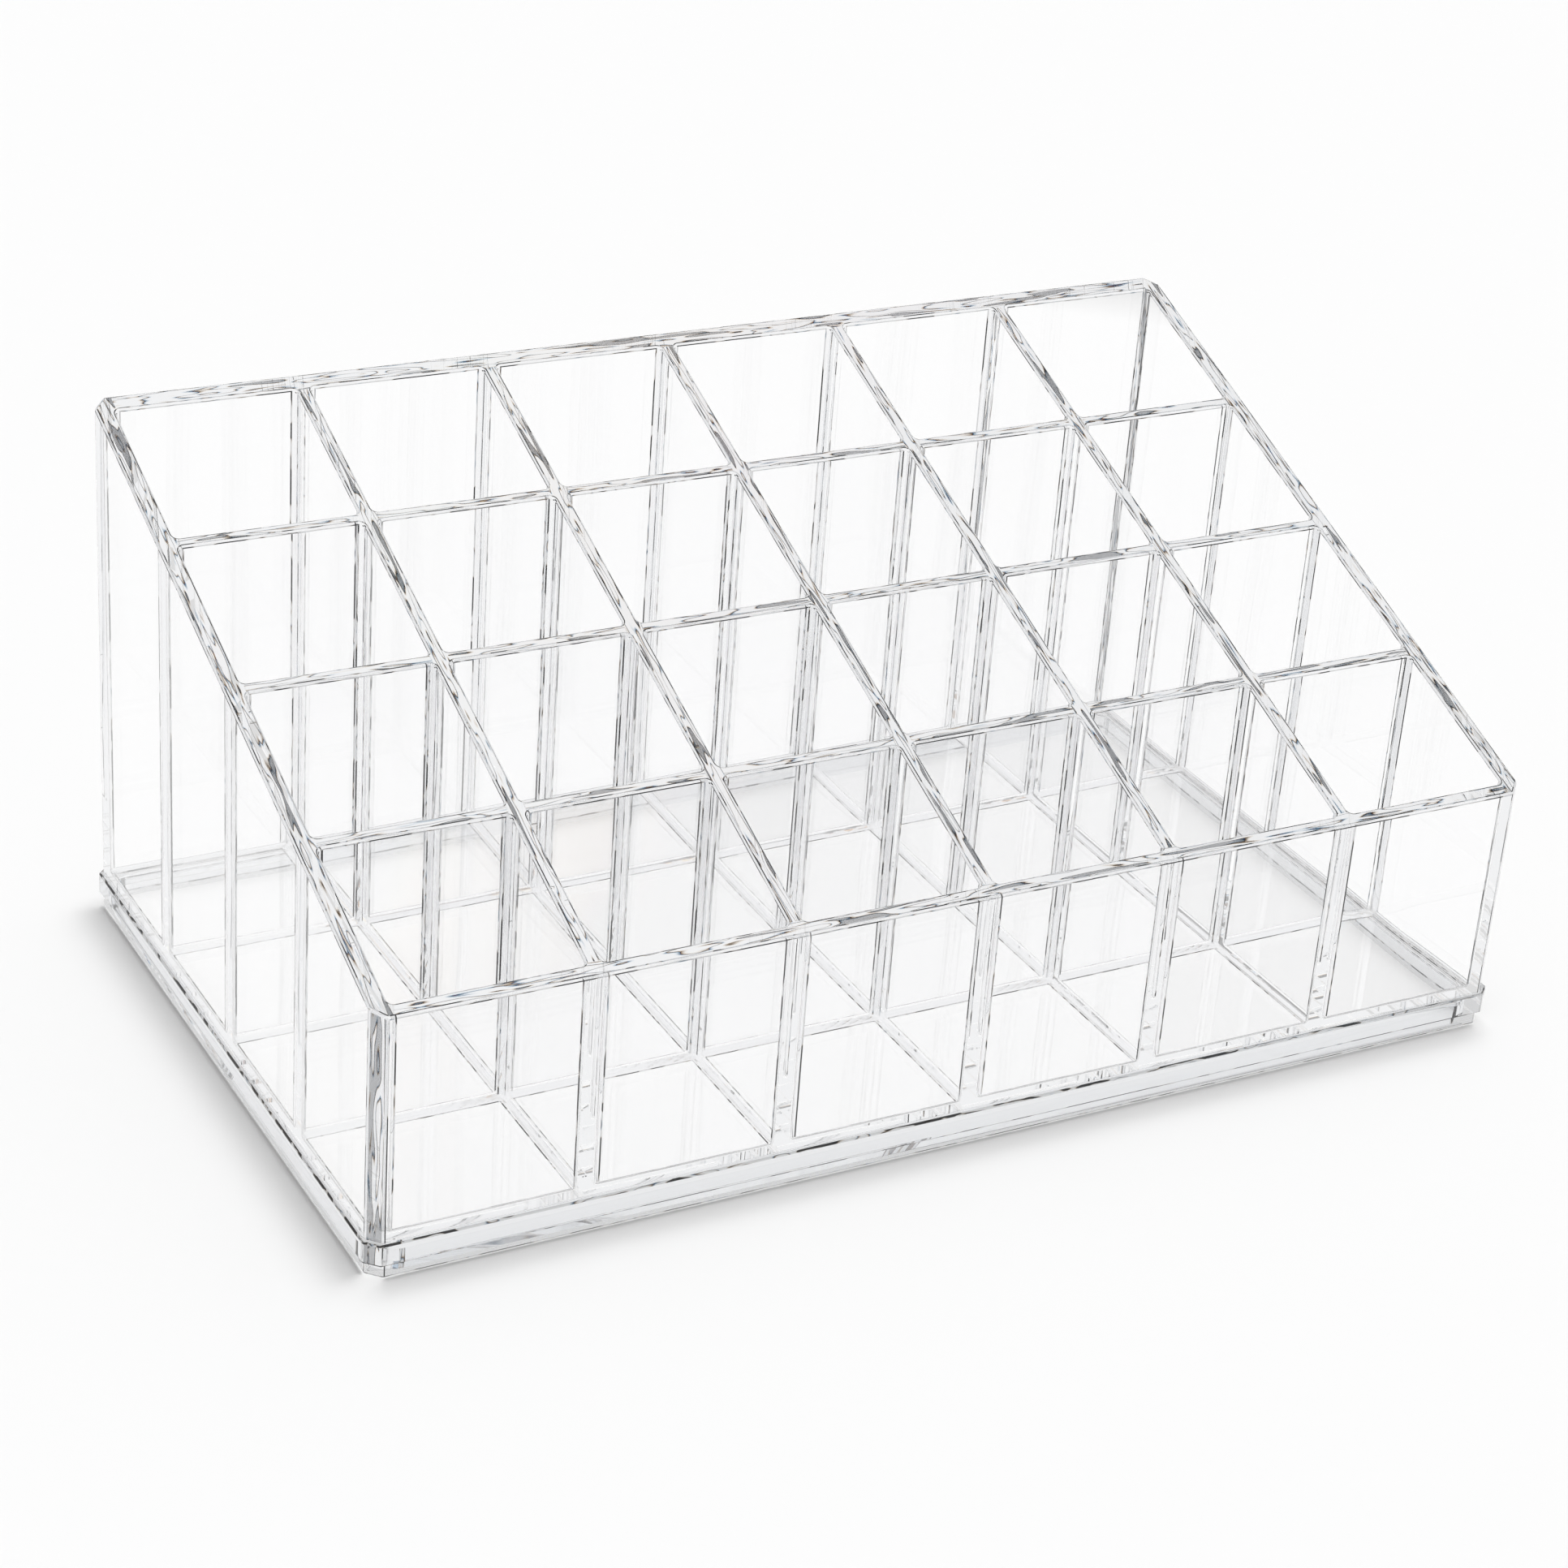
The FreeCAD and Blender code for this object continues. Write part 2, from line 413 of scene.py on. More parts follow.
def clear_finishes():
    """Clear plastic plain and with painted grey shade, the seam, and kinds with painted shade streaks for
    rims and edges that run each way.
    """
    finish = bpy.context.scene.organizer_finish
    slope = math.atan(RIM_SLOPE)
    fine = finish.streak_width
    runs, dashes = (
        {
            "across": (0, (drawn_out, fine, fine)),
            "along": (slope, (fine, drawn_out, fine)),
            "upright": (0, (fine, fine, drawn_out)),
        }
        for drawn_out in (finish.streak_length, finish.dash_length)
    )
    # Painted shade of the rims, the bevelled outer corners and the rounded edges
    rims = {
        "across": (finish.rim_share, finish.clear_colour, finish.rim_dark_painted_shade),
        "along": (finish.rim_share, finish.clear_colour, finish.slope_dark_painted_shade),
        "upright": (finish.post_share, finish.post_pale_painted_shade, finish.post_dark_painted_shade),
    }
    edge = (finish.edge_share, finish.edge_pale_painted_shade, finish.edge_dark_painted_shade)
    made = {"clear": clear_plastic("moulded_clear")[0], "seam": bonded_seam()}
    for run in RUNS:
        made["rim_" + run] = plastic_with_painted_streaks("rim_" + run, *runs[run], *rims[run])
    for run in RUNS:
        made["edge_" + run] = plastic_with_painted_streaks("edge_" + run, *dashes[run], *edge)
    # Light grey painted shade for the inner corners; grey painted shade and a denser shadow for the base
    # strips
    painted_shades = {"corner": (finish.corner_painted_shade, None), "base": (finish.base_painted_shade, finish.base_shadow_colour)}
    for name, (colour, shadow_colour) in painted_shades.items():
        made[name], shader = clear_plastic(name + "_plastic", shadow_colour)
        # The painted grey shade goes into the base colour
        shader.inputs["Base Color"].default_value = (*colour, 1)
    return made


def bonded_seam():
    """Faces where two pieces are one solid mass of plastic, so light goes straight on."""
    material = bpy.data.materials.new("bonded_seam")
    material.use_nodes = True
    tree = material.node_tree
    tree.nodes.clear()
    open_way = tree.nodes.new("ShaderNodeBsdfTransparent")
    out = tree.nodes.new("ShaderNodeOutputMaterial")
    tree.links.new(open_way.outputs[0], out.inputs["Surface"])
    return material


def stage_white(name, colour, glow, glow_through, sheet_size, surround):
    """Matt white sheet with the object's soft shadow, which ends in a darker room for refracted light."""
    material = bpy.data.materials.new(name)
    material.use_nodes = True
    tree = material.node_tree
    tree.nodes.clear()
    link = tree.links.new
    place = tree.nodes.new("ShaderNodeTexCoord")
    distance = tree.nodes.new("ShaderNodeVectorMath")
    distance.operation = "LENGTH"
    fade = tree.nodes.new("ShaderNodeMapRange")
    fade.inputs["From Min"].default_value = sheet_size
    fade.inputs["From Max"].default_value = sheet_size * SHEET_END_SHARE
    fade.inputs["To Min"].default_value = 1.0
    fade.inputs["To Max"].default_value = surround
    path = tree.nodes.new("ShaderNodeLightPath")
    matt = tree.nodes.new("ShaderNodeBsdfDiffuse")
    matt.inputs["Color"].default_value = (*colour, 1)
    shine = tree.nodes.new("ShaderNodeEmission")
    mix = tree.nodes.new("ShaderNodeMixShader")
    out = tree.nodes.new("ShaderNodeOutputMaterial")
    link(place.outputs["Object"], distance.inputs[0])
    link(distance.outputs["Value"], fade.inputs["Value"])
    strength = add_math(tree, "MAXIMUM", fade.outputs["Result"], path.outputs["Is Camera Ray"])
    link(strength, shine.inputs["Strength"])
    bent = add_math(tree, "MAXIMUM", path.outputs["Is Glossy Ray"], path.outputs["Is Transmission Ray"])
    straight_share = add_math(tree, "MULTIPLY", path.outputs["Is Camera Ray"], glow)
    bent_share = add_math(tree, "MULTIPLY", bent, glow_through)
    link(add_math(tree, "MAXIMUM", straight_share, bent_share), mix.inputs["Fac"])
    link(matt.outputs[0], mix.inputs[1])
    link(shine.outputs[0], mix.inputs[2])
    link(mix.outputs[0], out.inputs["Surface"])
    return material


# The whole clear mass, from which every piece is cut
def rounded_body():
    """Walls with bevelled corners under the sloping rim, on the stepped plinth."""
    sizes = bpy.context.scene.organizer_sizes
    body = add_block("mass", (-HALF_WIDTH, -HALF_DEPTH, 0), (HALF_WIDTH, HALF_DEPTH, WALLS_TOP))
    bevel_edges(body, is_upright, CORNER_CHAMFER)
    bevel_edges(body, is_upright, sizes.edge_round, EDGE_STEPS)
    activate(body)
    bpy.ops.object.mode_set(mode="EDIT")
    bpy.ops.mesh.select_all(action="SELECT")
    bpy.ops.mesh.bisect(
        plane_co=(0, -HALF_DEPTH, FRONT_HEIGHT),
        plane_no=(0, -RIM_SLOPE, 1),
        use_fill=True,
        clear_outer=True,
        threshold=SNAP,
    )
    bpy.ops.object.mode_set(mode="OBJECT")
    x, y = HALF_WIDTH + BAND_PROUD, HALF_DEPTH + BAND_PROUD
    band = add_block("band", (-x, -y, FOOT_HEIGHT), (x, y, LEDGE_HEIGHT))
    bevel_edges(band, is_upright, CORNER_CHAMFER)
    bevel_edges(band, lambda edge: True, sizes.edge_round, EDGE_STEPS)
    cut(body, band, "UNION")
    bevel_edges(body, is_level_at(0), sizes.edge_round, EDGE_STEPS)
    return body


def cell_cutters():
    """One rounded cell, repeated across and back."""
    sizes = bpy.context.scene.organizer_sizes
    x, y = column_centre(0), row_centre(CELLS_DEEP - 1)
    low = (x - CELL_WIDTH / 2, y - CELL_DEPTH / 2, FLOOR_LEVEL)
    high = (x + CELL_WIDTH / 2, y + CELL_DEPTH / 2, WALLS_TOP + REACH)
    cell = add_block("cells", low, high)
    bevel_edges(cell, is_upright, sizes.cell_corner_radius, sizes.corner_steps)
    bevel_edges(cell, is_level_at(FLOOR_LEVEL), sizes.floor_edge_radius, FLOOR_EDGE_STEPS)
    for count, step in ((CELLS_ACROSS, (COLUMN_PITCH, 0, 0)), (CELLS_DEEP, (0, ROW_PITCH, 0))):
        apply_modifier(
            cell,
            "ARRAY",
            count=count,
            use_relative_offset=False,
            use_constant_offset=True,
            constant_offset_displace=step,
        )
    return cell


def plinth_cutter():
    """Hollow under the floor plate, with moulded corners."""
    sizes = bpy.context.scene.organizer_sizes
    x, y = HALF_WIDTH - SKIRT, HALF_DEPTH - SKIRT
    hollow = add_block("hollow", (-x, -y, -REACH), (x, y, FLOOR_UNDERSIDE))
    bevel_edges(hollow, is_upright, sizes.plinth_corner_radius, sizes.corner_steps)
    ceiling_round = sizes.edge_round * CEILING_ROUND_SHARE
    bevel_edges(hollow, is_level_at(FLOOR_UNDERSIDE), ceiling_round, EDGE_STEPS)
    return hollow


def longest_edge(mesh, face):
    ends = [(mesh.vertices[a].co, mesh.vertices[b].co) for a, b in face.edge_keys]
    return max((b - a for a, b in ends), key=lambda edge: edge.length)


def finish_for(face, longest):
    """Name of the finish that suits a face's tilt, width, run and height; every finish but clear carries
    painted shade.
    """
    up_the_rim = Vector((0, -RIM_SLOPE, 1)).normalized()
    lengths = [abs(part) for part in longest]
    run = RUNS[lengths.index(max(lengths))]
    tilts = [abs(part) for part in face.normal]
    over_rim = face.normal.dot(up_the_rim)
    flattest = max(*tilts, over_rim)
    is_tilted = flattest < FLAT_COSINE
    is_narrow = is_tilted and face.area / longest.length < NARROW_FACE
    in_plinth = face.center.z < LEDGE_HEIGHT + CLOSE
    at_floor = FLOOR_LEVEL < face.center.z < LAND_LEVEL and run != "upright"
    mid_curve = is_narrow and (in_plinth or flattest < MIDDLE_COSINE) and not at_floor
    beside_flat = is_tilted and flattest > EDGE_COSINE and not (at_floor and tilts[2] < EDGE_COSINE)
    under_band = face.normal.z < -FLAT_COSINE and abs(face.center.z - FOOT_HEIGHT) < CLOSE
    if over_rim > FLAT_COSINE:
        return "rim_across"
    if beside_flat or mid_curve:
        return "edge_" + run
    if run == "upright" and abs(tilts[0] - tilts[1]) < 1 - FLAT_COSINE:
        return "rim_upright"
    if is_tilted and not at_floor:
        return "corner"
    # The band's underside gets a painted dark line for the shade in the gap above the foot
    if under_band:
        return "edge_" + run
    return "clear"


def choose_finishes(body):
    """Painted shade streaks on the rims and along each rounding, a light grey painted shade in the corners
    and clear on the rest.
    """
    for face in body.data.polygons:
        face.material_index = SLOTS[finish_for(face, longest_edge(body.data, face))]


def build_mass():
    """The body with its cells and hollow cut, its rims rounded and its finishes chosen."""
    sizes = bpy.context.scene.organizer_sizes
    body = rounded_body()
    cut(body, cell_cutters(), "DIFFERENCE")
    cut(body, plinth_cutter(), "DIFFERENCE")
    bevel_edges(body, is_rim, sizes.rim_round, RIM_STEPS)
    choose_finishes(body)
    activate(body)
    bpy.ops.object.shade_smooth_by_angle(angle=SMOOTH_ANGLE)
    apply_modifier(body, "WEIGHTED_NORMAL", keep_sharp=True)
    body.hide_render = True
    return body


def seam_block(low, high):
    """Box that marks the faces that it cuts as bonded."""
    block = add_block("seam_block", low, high)
    for face in block.data.polygons:
        face.material_index = SLOTS["seam"]
    return block


def piece_from(source, node_name, keep, remove=(), rim_run="across"):
    """Cut one piece out of the mass, by the box that it keeps and the boxes that it leaves to others."""
    piece = copy_of(source, "clear_" + node_name)
    piece.hide_render = False
    cut(piece, seam_block(*keep), "INTERSECT")
    for low, high in remove:
        cut(piece, seam_block(low, high), "DIFFERENCE")
    for face in piece.data.polygons:
        if face.material_index == SLOTS["rim_across"]:
            face.material_index = SLOTS["rim_" + rim_run]
    finish_piece(piece, node_name)
    return piece


def finish_piece(piece, node_name):
    """Give a piece the surface normals of the mass and put it in the frame."""
    activate(piece)
    bpy.ops.object.shade_smooth_by_angle(angle=SMOOTH_ANGLE)
    apply_modifier(
        piece,
        "DATA_TRANSFER",
        object=work["mass"],
        use_loop_data=True,
        data_types_loops={"CUSTOM_NORMAL"},
        loop_mapping="POLYINTERP_NEAREST",
    )
    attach(piece, "root")
    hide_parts(node_name)


def corner_web():
    """How far the rounded corners beside a panel may reach out from its face."""
    return bpy.context.scene.organizer_sizes.cell_corner_radius + STUB * 3


def layer_of_mass(name, bottom, top):
    """The mass between two heights, cut once and then shared."""
    if name not in work:
        layer = copy_of(work["mass"], name)
        cut(layer, seam_block((-FAR_X, -FAR_Y, bottom), (FAR_X, FAR_Y, top)), "INTERSECT")
        work[name] = layer
    return work[name]


def upper_mass():
    return layer_of_mass("upper", LAND_LEVEL, WALLS_TOP)


def lower_mass():
    return layer_of_mass("lower", -REACH, LAND_LEVEL)


# What a user would change
class OrganizerSizes(bpy.types.PropertyGroup):
    cell_corner_radius: FloatProperty(
        name="Cell corner radius",
        description="Rounding of the upright corners inside each cell",
        default=1.1 * MM,
        unit="LENGTH",
    )
    floor_edge_radius: FloatProperty(
        name="Floor edge radius",
        description="Rounding where a cell's floor meets its walls",
        default=0.99 * MM,
        unit="LENGTH",
    )
    plinth_corner_radius: FloatProperty(
        name="Plinth corner radius",
        description="Rounding of the corners under the floor plate",
        default=4.0 * MM,
        unit="LENGTH",
    )
    rim_round: FloatProperty(
        name="Rim rounding",
        description="Softening of the edges around each cell's mouth",
        default=0.5 * MM,
        unit="LENGTH",
    )
    edge_round: FloatProperty(
        name="Edge rounding",
        description="Softening of the outer edges",
        default=0.35 * MM,
        unit="LENGTH",
    )
    corner_steps: IntProperty(
        name="Corner steps",
        description="Flats that make up each rounded cell corner",
        default=6,
        min=3,
    )


class OrganizerFinish(bpy.types.PropertyGroup):
    clear_colour: FloatVectorProperty(
        name="Clear colour",
        description="Tint of the clear plastic",
        subtype="COLOR",
        default=(0.995, 0.995, 0.996),
    )
    # Painted shade: dark streaks on the rims in place of their refraction lines, darker on the rims that
    # slope
    rim_dark_painted_shade: FloatVectorProperty(
        name="Rim streaks",
        description="Tint of the streaks on the rims",
        subtype="COLOR",
        default=(0.22, 0.223, 0.23),
    )
    slope_dark_painted_shade: FloatVectorProperty(
        name="Sloping rim streaks",
        description="Tint of the streaks on the rims that slope from back to front",
        subtype="COLOR",
        default=(0.12, 0.123, 0.128),
    )
    rim_share: FloatProperty(
        name="Rim streak share",
        description="Share of the rims that the streaks cover",
        subtype="FACTOR",
        default=0.4,
    )
    # Painted shade: grey on the bevelled outer corners with darker painted streaks down them
    post_pale_painted_shade: FloatVectorProperty(
        name="Corner paleness",
        description="Tint of the bevelled outer corners between their streaks",
        subtype="COLOR",
        default=(0.85, 0.855, 0.865),
    )
    post_dark_painted_shade: FloatVectorProperty(
        name="Corner streaks",
        description="Tint of the streaks down the bevelled outer corners",
        subtype="COLOR",
        default=(0.25, 0.253, 0.26),
    )
    post_share: FloatProperty(
        name="Corner streak share",
        description="Share of the bevelled outer corners that the streaks cover",
        subtype="FACTOR",
        default=0.56,
    )
    # Painted shade: grey on the rounded edges with near-black painted lines along them
    edge_pale_painted_shade: FloatVectorProperty(
        name="Edge paleness",
        description="Tint of the rounded edges between their dark lines",
        subtype="COLOR",
        default=(0.42, 0.424, 0.432),
    )
    edge_dark_painted_shade: FloatVectorProperty(
        name="Edge streaks",
        description="Tint of the lines along the rounded edges",
        subtype="COLOR",
        default=(0.001, 0.001, 0.0011),
    )
    edge_share: FloatProperty(
        name="Edge streak share",
        description="Share of the rounded edges that the dark streaks cover",
        subtype="FACTOR",
        default=0.48,
    )
    # Painted shade: light grey on the rounded corners inside the cells
    corner_painted_shade: FloatVectorProperty(
        name="Inner corner painted shade",
        description="Tint of the rounded corners inside the cells",
        subtype="COLOR",
        default=(0.86, 0.865, 0.875),
    )
    # Painted shade: grey on the base strips
    base_painted_shade: FloatVectorProperty(
        name="Base painted shade",
        description="Tint of the base strips",
        subtype="COLOR",
        default=(0.81, 0.82, 0.835),
    )
    # Painted shade: the thin dark lines between the streaks
    line_painted_shade: FloatVectorProperty(
        name="Line painted shade",
        description="Tint of the thin lines between the streaks",
        subtype="COLOR",
        default=(0.0015, 0.0015, 0.0017),
    )
    streak_width: FloatProperty(
        name="Streak width",
        description="How wide one streak is",
        default=1.3 * MM,
        unit="LENGTH",
    )
    streak_length: FloatProperty(
        name="Streak length",
        description="How long one streak is",
        default=14 * MM,
        unit="LENGTH",
    )
    dash_length: FloatProperty(
        name="Dash length",
        description="How long one dash on a rounded edge is",
        default=7 * MM,
        unit="LENGTH",
    )
    shadow_colour: FloatVectorProperty(
        name="Shadow tint",
        description="Share of the light that each surface lets through to the shadow",
        subtype="COLOR",
        default=(0.99, 0.99, 0.99),
    )
    base_shadow_colour: FloatVectorProperty(
        name="Base shadow tint",
        description="Share of the light that each surface of the base strips lets through to the shadow",
        subtype="COLOR",
        default=(0.05, 0.05, 0.05),
    )
    refraction: FloatProperty(
        name="Refractive index",
        description="How strongly the plastic bends light",
        default=1.5,
    )
    roughness: FloatProperty(
        name="Roughness",
        description="Haze of the polished surface",
        subtype="FACTOR",
        default=0.0,
    )
    trapped_light: FloatVectorProperty(
        name="Trapped light",
        description="Colour of light that has bounced about inside the walls for long",
        subtype="COLOR",
        default=(0.88, 0.885, 0.895),
    )
    deepest_path: IntProperty(
        name="Deepest path",
        description="Bounces after which light counts as trapped",
        default=12,
    )
    flow_strength: FloatProperty(
        name="Flow marks",
        description="Strength of the slow waves in the moulded surface",
        subtype="FACTOR",
        default=0.15,
    )


class OrganizerStage(bpy.types.PropertyGroup):
    azimuth: FloatProperty(
        name="Camera azimuth",
        description="Turn of the camera about the upright axis",
        subtype="ANGLE",
        default=math.radians(-29.7339),
    )
    elevation: FloatProperty(
        name="Camera elevation",
        description="Height angle of the camera",
        subtype="ANGLE",
        default=math.radians(26.9346),
    )
    roll: FloatProperty(
        name="Camera roll",
        description="Turn of the camera about its own view",
        subtype="ANGLE",
        default=math.radians(4.3571),
    )
    place: FloatVectorProperty(
        name="Camera place",
        description="Where the camera stands",
        subtype="TRANSLATION",
        default=(-312.7399 * MM, -540.4319 * MM, 355.8253 * MM),
    )
    focal_pixels: FloatProperty(
        name="Focal length in pixels",
        description="Focal length measured in pixels of the photograph",
        default=4500.56,
    )
    floor_colour: FloatVectorProperty(
        name="Floor colour",
        description="Matt colour of the floor",
        subtype="COLOR",
        default=(0.86, 0.86, 0.86),
    )
    floor_glow: FloatProperty(
        name="Floor glow",
        description="Share of plain white in what is seen of the floor",
        subtype="FACTOR",
        default=0.1,
    )
    glow_through: FloatProperty(
        name="Floor glow through plastic",
        description="Share of plain white in what is seen of the floor through the plastic",
        subtype="FACTOR",
        default=0.7,
    )
    sheet_size: FloatProperty(
        name="Sheet size",
        description="Distance at which the white sheet ends for light bent by the plastic",
        default=0.4,
        unit="LENGTH",
    )
    surround: FloatProperty(
        name="Surround",
        description="Brightness of the room past the white sheet",
        subtype="FACTOR",
        default=0.1,
    )
    gap_scale: FloatProperty(
        name="Gap scale",
        description="How finely the room's white panels and dark gaps follow each other",
        default=2.5,
    )
    gap_share: FloatProperty(
        name="Gap share",
        description="Share of the room that is dark gaps",
        subtype="FACTOR",
        default=0.4,
    )
    gap_tone: FloatProperty(
        name="Gap tone",
        description="Brightness of the room's gaps",
        subtype="FACTOR",
        default=0.3,
    )
    fringe: FloatProperty(
        name="Colour fringe",
        description="Spread of the colours at the gaps' borders",
        subtype="FACTOR",
        default=0.012,
    )
    fill: FloatProperty(
        name="Fill light",
        description="Strength of the room's light on matt surfaces",
        subtype="FACTOR",
        default=0.4,
    )
    lamp_strength: FloatProperty(
        name="Lamp strength",
        description="Strength of the soft lamp",
        default=2.85,
    )
    lamp_spread: FloatProperty(
        name="Lamp spread",
        description="How wide the soft lamp looks from the object",
        subtype="ANGLE",
        default=math.radians(60),
    )
    lamp_azimuth: FloatProperty(
        name="Lamp azimuth",
        description="Turn of the soft lamp about the upright axis",
        subtype="ANGLE",
        default=math.radians(125),
    )
    lamp_elevation: FloatProperty(
        name="Lamp elevation",
        description="Height angle of the soft lamp",
        subtype="ANGLE",
        default=math.radians(55),
    )


# Operators, one for each group of like pieces
class ORGANIZER_OT_mass(bpy.types.Operator):
    """Shape the clear mass that all the pieces are cut from"""

    bl_idname = "organizer.mass"
    bl_label = "Clear mass"

    def execute(self, context):
        work["flow"] = mould_flow_group()
        work["streaks"] = painted_streak_group()
        work["finishes"] = clear_finishes()
        work["mass"] = build_mass()
        return {"FINISHED"}


class ORGANIZER_OT_plinth(bpy.types.Operator):
    """Cut the four base strips with their band and foot"""

    bl_idname = "organizer.plinth"
    bl_label = "Plinth strips"

    def execute(self, context):
        plug = ((-PLUG_X, -PLUG_Y, PLATE_SEAM), (PLUG_X, PLUG_Y, PLINTH_SEAM + REACH))
        cut_y = HALF_DEPTH - SKIRT - STUB
        strips = {
            "base_strip_front": ((-FAR_X, -FAR_Y, -REACH), (FAR_X, -cut_y, PLINTH_SEAM)),
            "base_strip_back": ((-FAR_X, cut_y, -REACH), (FAR_X, FAR_Y, PLINTH_SEAM)),
            "base_strip_left": ((-FAR_X, -cut_y, -REACH), (0, cut_y, PLINTH_SEAM)),
            "base_strip_right": ((0, -cut_y, -REACH), (FAR_X, cut_y, PLINTH_SEAM)),
        }
        for name, keep in strips.items():
            strip = piece_from(lower_mass(), name, keep, [plug])
            # The base strips take the grey painted shade and the denser shadow
            strip.data.materials[SLOTS["clear"]] = work["finishes"]["base"]
        return {"FINISHED"}


class ORGANIZER_OT_floor_plate(bpy.types.Operator):
    """Cut the floor plate with its rounded pockets"""

    bl_idname = "organizer.floor_plate"
    bl_label = "Floor plate"

    def execute(self, context):
        keep = ((-FAR_X, -FAR_Y, PLATE_SEAM), (FAR_X, FAR_Y, LAND_LEVEL + REACH))
        below = PLATE_SEAM - REACH
        side_y = PLUG_Y + REACH / 2
        ring = [
            ((-FAR_X, -FAR_Y, below), (FAR_X, -PLUG_Y, PLINTH_SEAM)),
            ((-FAR_X, PLUG_Y, below), (FAR_X, FAR_Y, PLINTH_SEAM)),
            ((-FAR_X, -side_y, below), (-PLUG_X, side_y, PLINTH_SEAM)),
            ((PLUG_X, -side_y, below), (FAR_X, side_y, PLINTH_SEAM)),
        ]
        piece_from(lower_mass(), "floor_plate", keep, ring)
        return {"FINISHED"}


class ORGANIZER_OT_outer_walls(bpy.types.Operator):
    """Cut the front, back and side walls"""

    bl_idname = "organizer.outer_walls"
    bl_label = "Outer walls"

    def execute(self, context):
        bottom, top = WALLS_BOTTOM, WALLS_TOP
        side = INNER_X - STUB
        left = ((-FAR_X, -FAR_Y, bottom), (-side, FAR_Y, top))
        right = ((side, -FAR_Y, bottom), (FAR_X, FAR_Y, top))
        piece_from(upper_mass(), "side_wall_left", left, rim_run="along")
        piece_from(upper_mass(), "side_wall_right", right, rim_run="along")
        web = corner_web()
        middle = INNER_X - web
        front_web, back_web = FRONT_Y + web, BACK_Y - web
        front = ((-side, -FAR_Y, bottom), (side, front_web, top))
        back = ((-side, back_web, bottom), (side, FAR_Y, top))
        front_open = ((-middle, FRONT_Y + STUB, bottom - REACH), (middle, front_web + REACH, top + REACH))
        back_open = ((-middle, back_web - REACH, bottom - REACH), (middle, BACK_Y - STUB, top + REACH))
        piece_from(upper_mass(), "front_wall", front, [front_open])
        piece_from(upper_mass(), "back_wall", back, [back_open])
        return {"FINISHED"}


class ORGANIZER_OT_long_dividers(bpy.types.Operator):
    """Cut the dividers that run from front to back"""

    bl_idname = "organizer.long_dividers"
    bl_label = "Long dividers"

    def execute(self, context):
        bottom, top = WALLS_BOTTOM, WALLS_TOP
        web = corner_web()
        near, far = LONG_DIVIDER / 2 + STUB, LONG_DIVIDER / 2 + web
        front, back = FRONT_Y + web, BACK_Y - web
        for number in range(1, CELLS_ACROSS):
            x = column_centre(number) - COLUMN_PITCH / 2
            keep = ((x - far, FRONT_Y + STUB, bottom), (x + far, BACK_Y - STUB, top))
            sides = [
                ((x - far - REACH / 2, front, bottom - REACH), (x - near, back, top + REACH)),
                ((x + near, front, bottom - REACH), (x + far + REACH / 2, back, top + REACH)),
            ]
            piece_from(upper_mass(), f"long_divider_{number}", keep, sides, "along")
        return {"FINISHED"}


class ORGANIZER_OT_cross_dividers(bpy.types.Operator):
    """Cut the short dividers between the long ones"""

    bl_idname = "organizer.cross_dividers"
    bl_label = "Cross dividers"

    def execute(self, context):
        depth = CROSS_DIVIDER / 2 + corner_web()
        half = CELL_WIDTH / 2 - STUB
        for row in range(1, CELLS_DEEP):
            y = row_centre(row) + ROW_PITCH / 2
            for column in range(CELLS_ACROSS):
                x = column_centre(column)
                keep = ((x - half, y - depth, WALLS_BOTTOM), (x + half, y + depth, WALLS_TOP))
                piece_from(upper_mass(), f"cross_divider_{row}_{column + 1}", keep)
        return {"FINISHED"}


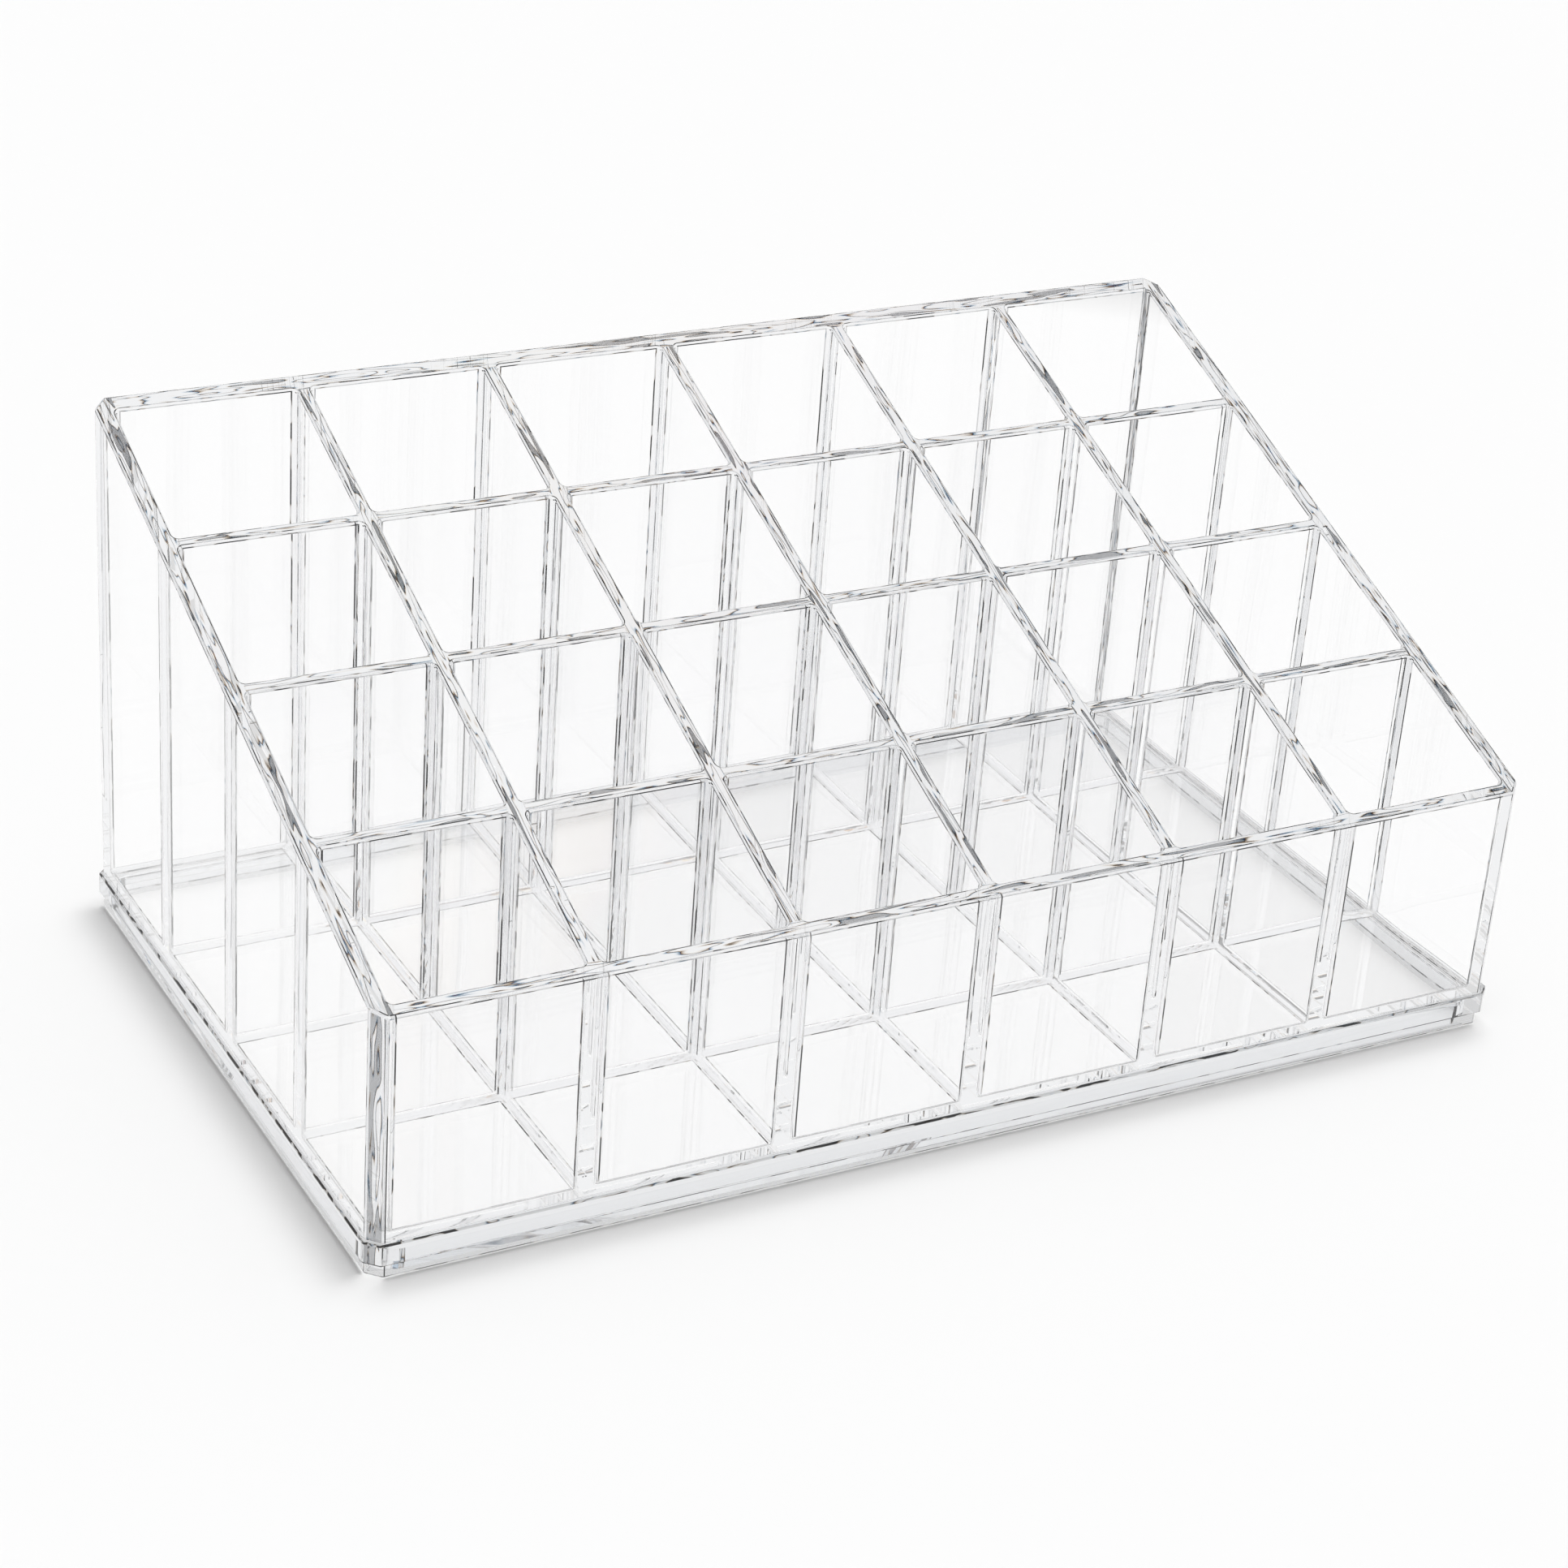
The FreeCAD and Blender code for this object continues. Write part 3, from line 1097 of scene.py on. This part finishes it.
class ORGANIZER_OT_stage(bpy.types.Operator):
    """Lay the floor, set the soft lamp and place the camera"""

    bl_idname = "organizer.stage"
    bl_label = "Stage"

    def execute(self, context):
        settings = context.scene.organizer_stage
        deselect_all()
        bpy.ops.mesh.primitive_plane_add(size=FLOOR_SIZE)
        floor = context.object
        floor.name = "floor"
        tones = (settings.floor_glow, settings.glow_through, settings.sheet_size, settings.surround)
        floor.data.materials.append(stage_white("floor_white", settings.floor_colour, *tones))
        self.lamp(settings)
        self.sky(context, settings)
        self.camera(context, settings)
        return {"FINISHED"}

    def lamp(self, settings):
        """One broad, even light for the floor, low enough for the base to throw its soft shadow."""
        deselect_all()
        bpy.ops.object.light_add(type="SUN")
        lamp = bpy.context.object
        lamp.name = "soft_light"
        lamp.data.angle = settings.lamp_spread
        lamp.data.energy = settings.lamp_strength
        lamp.rotation_euler = (math.pi / 2 - settings.lamp_elevation, 0, settings.lamp_azimuth)
        lamp.visible_glossy = False
        lamp.visible_transmission = False

    def sky(self, context, settings):
        """White for the eye; for bent and mirrored light a room of soft white panels and dark gaps."""
        world = bpy.data.worlds.new("studio")
        context.scene.world = world
        world.use_nodes = True
        tree = world.node_tree
        tree.nodes.clear()
        link = tree.links.new
        place = tree.nodes.new("ShaderNodeTexCoord")
        join = tree.nodes.new("ShaderNodeCombineColor")
        for number, channel in enumerate(("Red", "Green", "Blue")):
            shift = tree.nodes.new("ShaderNodeVectorMath")
            shift.operation = "SCALE"
            shift.inputs["Scale"].default_value = 1 + number * settings.fringe
            gaps = tree.nodes.new("ShaderNodeTexNoise")
            gaps.inputs["Scale"].default_value = settings.gap_scale
            gaps.inputs["Detail"].default_value = 0.0
            tone = tree.nodes.new("ShaderNodeMapRange")
            tone.inputs["From Min"].default_value = settings.gap_share
            tone.inputs["From Max"].default_value = settings.gap_share + GAP_BORDER
            tone.inputs["To Min"].default_value = settings.gap_tone
            link(place.outputs["Generated"], shift.inputs[0])
            link(shift.outputs["Vector"], gaps.inputs["Vector"])
            link(gaps.outputs["Fac"], tone.inputs["Value"])
            link(tone.outputs["Result"], join.inputs[channel])
        path = tree.nodes.new("ShaderNodeLightPath")
        seen = tree.nodes.new("ShaderNodeMix")
        seen.data_type = "RGBA"
        matt_light = add_math(tree, "MAXIMUM", path.outputs["Is Camera Ray"], settings.fill)
        link(matt_light, seen.inputs["A"])
        glow = tree.nodes.new("ShaderNodeBackground")
        out = tree.nodes.new("ShaderNodeOutputWorld")
        bent = add_math(tree, "MAXIMUM", path.outputs["Is Glossy Ray"], path.outputs["Is Transmission Ray"])
        link(bent, seen.inputs["Factor"])
        link(join.outputs["Color"], seen.inputs["B"])
        link(seen.outputs["Result"], glow.inputs["Color"])
        link(glow.outputs[0], out.inputs["Surface"])

    def camera(self, context, settings):
        """The camera of the photograph, from its angles, its place and its focal length."""
        turn, lift, roll = settings.azimuth, settings.elevation, settings.roll
        back = Vector((math.sin(turn) * math.cos(lift), -math.cos(turn) * math.cos(lift), math.sin(lift)))
        right = Vector((math.cos(turn), math.sin(turn), 0))
        up = back.cross(right)
        rolled_right = right * math.cos(roll) + up * math.sin(roll)
        rolled_up = up * math.cos(roll) - right * math.sin(roll)
        camera = bpy.data.objects.new("photo_camera", bpy.data.cameras.new("photo_camera"))
        context.scene.collection.objects.link(camera)
        turned = Matrix((rolled_right, rolled_up, back)).transposed().to_4x4()
        camera.matrix_world = Matrix.Translation(settings.place) @ turned
        camera.data.sensor_fit = "HORIZONTAL"
        camera.data.lens = settings.focal_pixels / PHOTO_WIDTH * camera.data.sensor_width
        camera.data.clip_start = CLIP_START
        context.scene.camera = camera


class ORGANIZER_PT_panel(bpy.types.Panel):
    """Builders and settings of the organizer"""

    bl_idname = "ORGANIZER_PT_panel"
    bl_label = "Vanity organizer"
    bl_space_type = "VIEW_3D"
    bl_region_type = "UI"
    bl_category = "Organizer"

    def draw(self, context):
        for step in STEPS:
            self.layout.operator(step.bl_idname)
        scene = context.scene
        for settings in (scene.organizer_sizes, scene.organizer_finish, scene.organizer_stage):
            box = self.layout.box()
            for name in settings.__annotations__:
                box.prop(settings, name)


STEPS = (
    ORGANIZER_OT_mass,
    ORGANIZER_OT_plinth,
    ORGANIZER_OT_floor_plate,
    ORGANIZER_OT_outer_walls,
    ORGANIZER_OT_long_dividers,
    ORGANIZER_OT_cross_dividers,
    ORGANIZER_OT_stage,
)
SETTINGS = {
    "organizer_sizes": OrganizerSizes,
    "organizer_finish": OrganizerFinish,
    "organizer_stage": OrganizerStage,
}
CLASSES = (*SETTINGS.values(), *STEPS, ORGANIZER_PT_panel)


def register():
    for made in CLASSES:
        bpy.utils.register_class(made)
    for name, group in SETTINGS.items():
        setattr(bpy.types.Scene, name, PointerProperty(type=group))


def unregister():
    for name in SETTINGS:
        delattr(bpy.types.Scene, name)
    for made in reversed(CLASSES):
        bpy.utils.unregister_class(made)


def render_paths():
    """Plain colours, and light that may go through many clear walls before it is given up."""
    bpy.context.scene.view_settings.view_transform = "Standard"
    paths = bpy.context.scene.cycles
    paths.max_bounces = CLEAR_BOUNCES
    paths.transmission_bounces = CLEAR_BOUNCES
    paths.glossy_bounces = MIRROR_BOUNCES
    paths.transparent_max_bounces = SHADOW_WALLS
    paths.caustics_reflective = False
    paths.caustics_refractive = True


def main():
    register()
    for step in STEPS:
        group, name = step.bl_idname.split(".")
        getattr(getattr(bpy.ops, group), name)()
    for name in ("upper", "lower", "mass"):
        drop(work[name])
    render_paths()


if __name__ == "__main__":
    main()
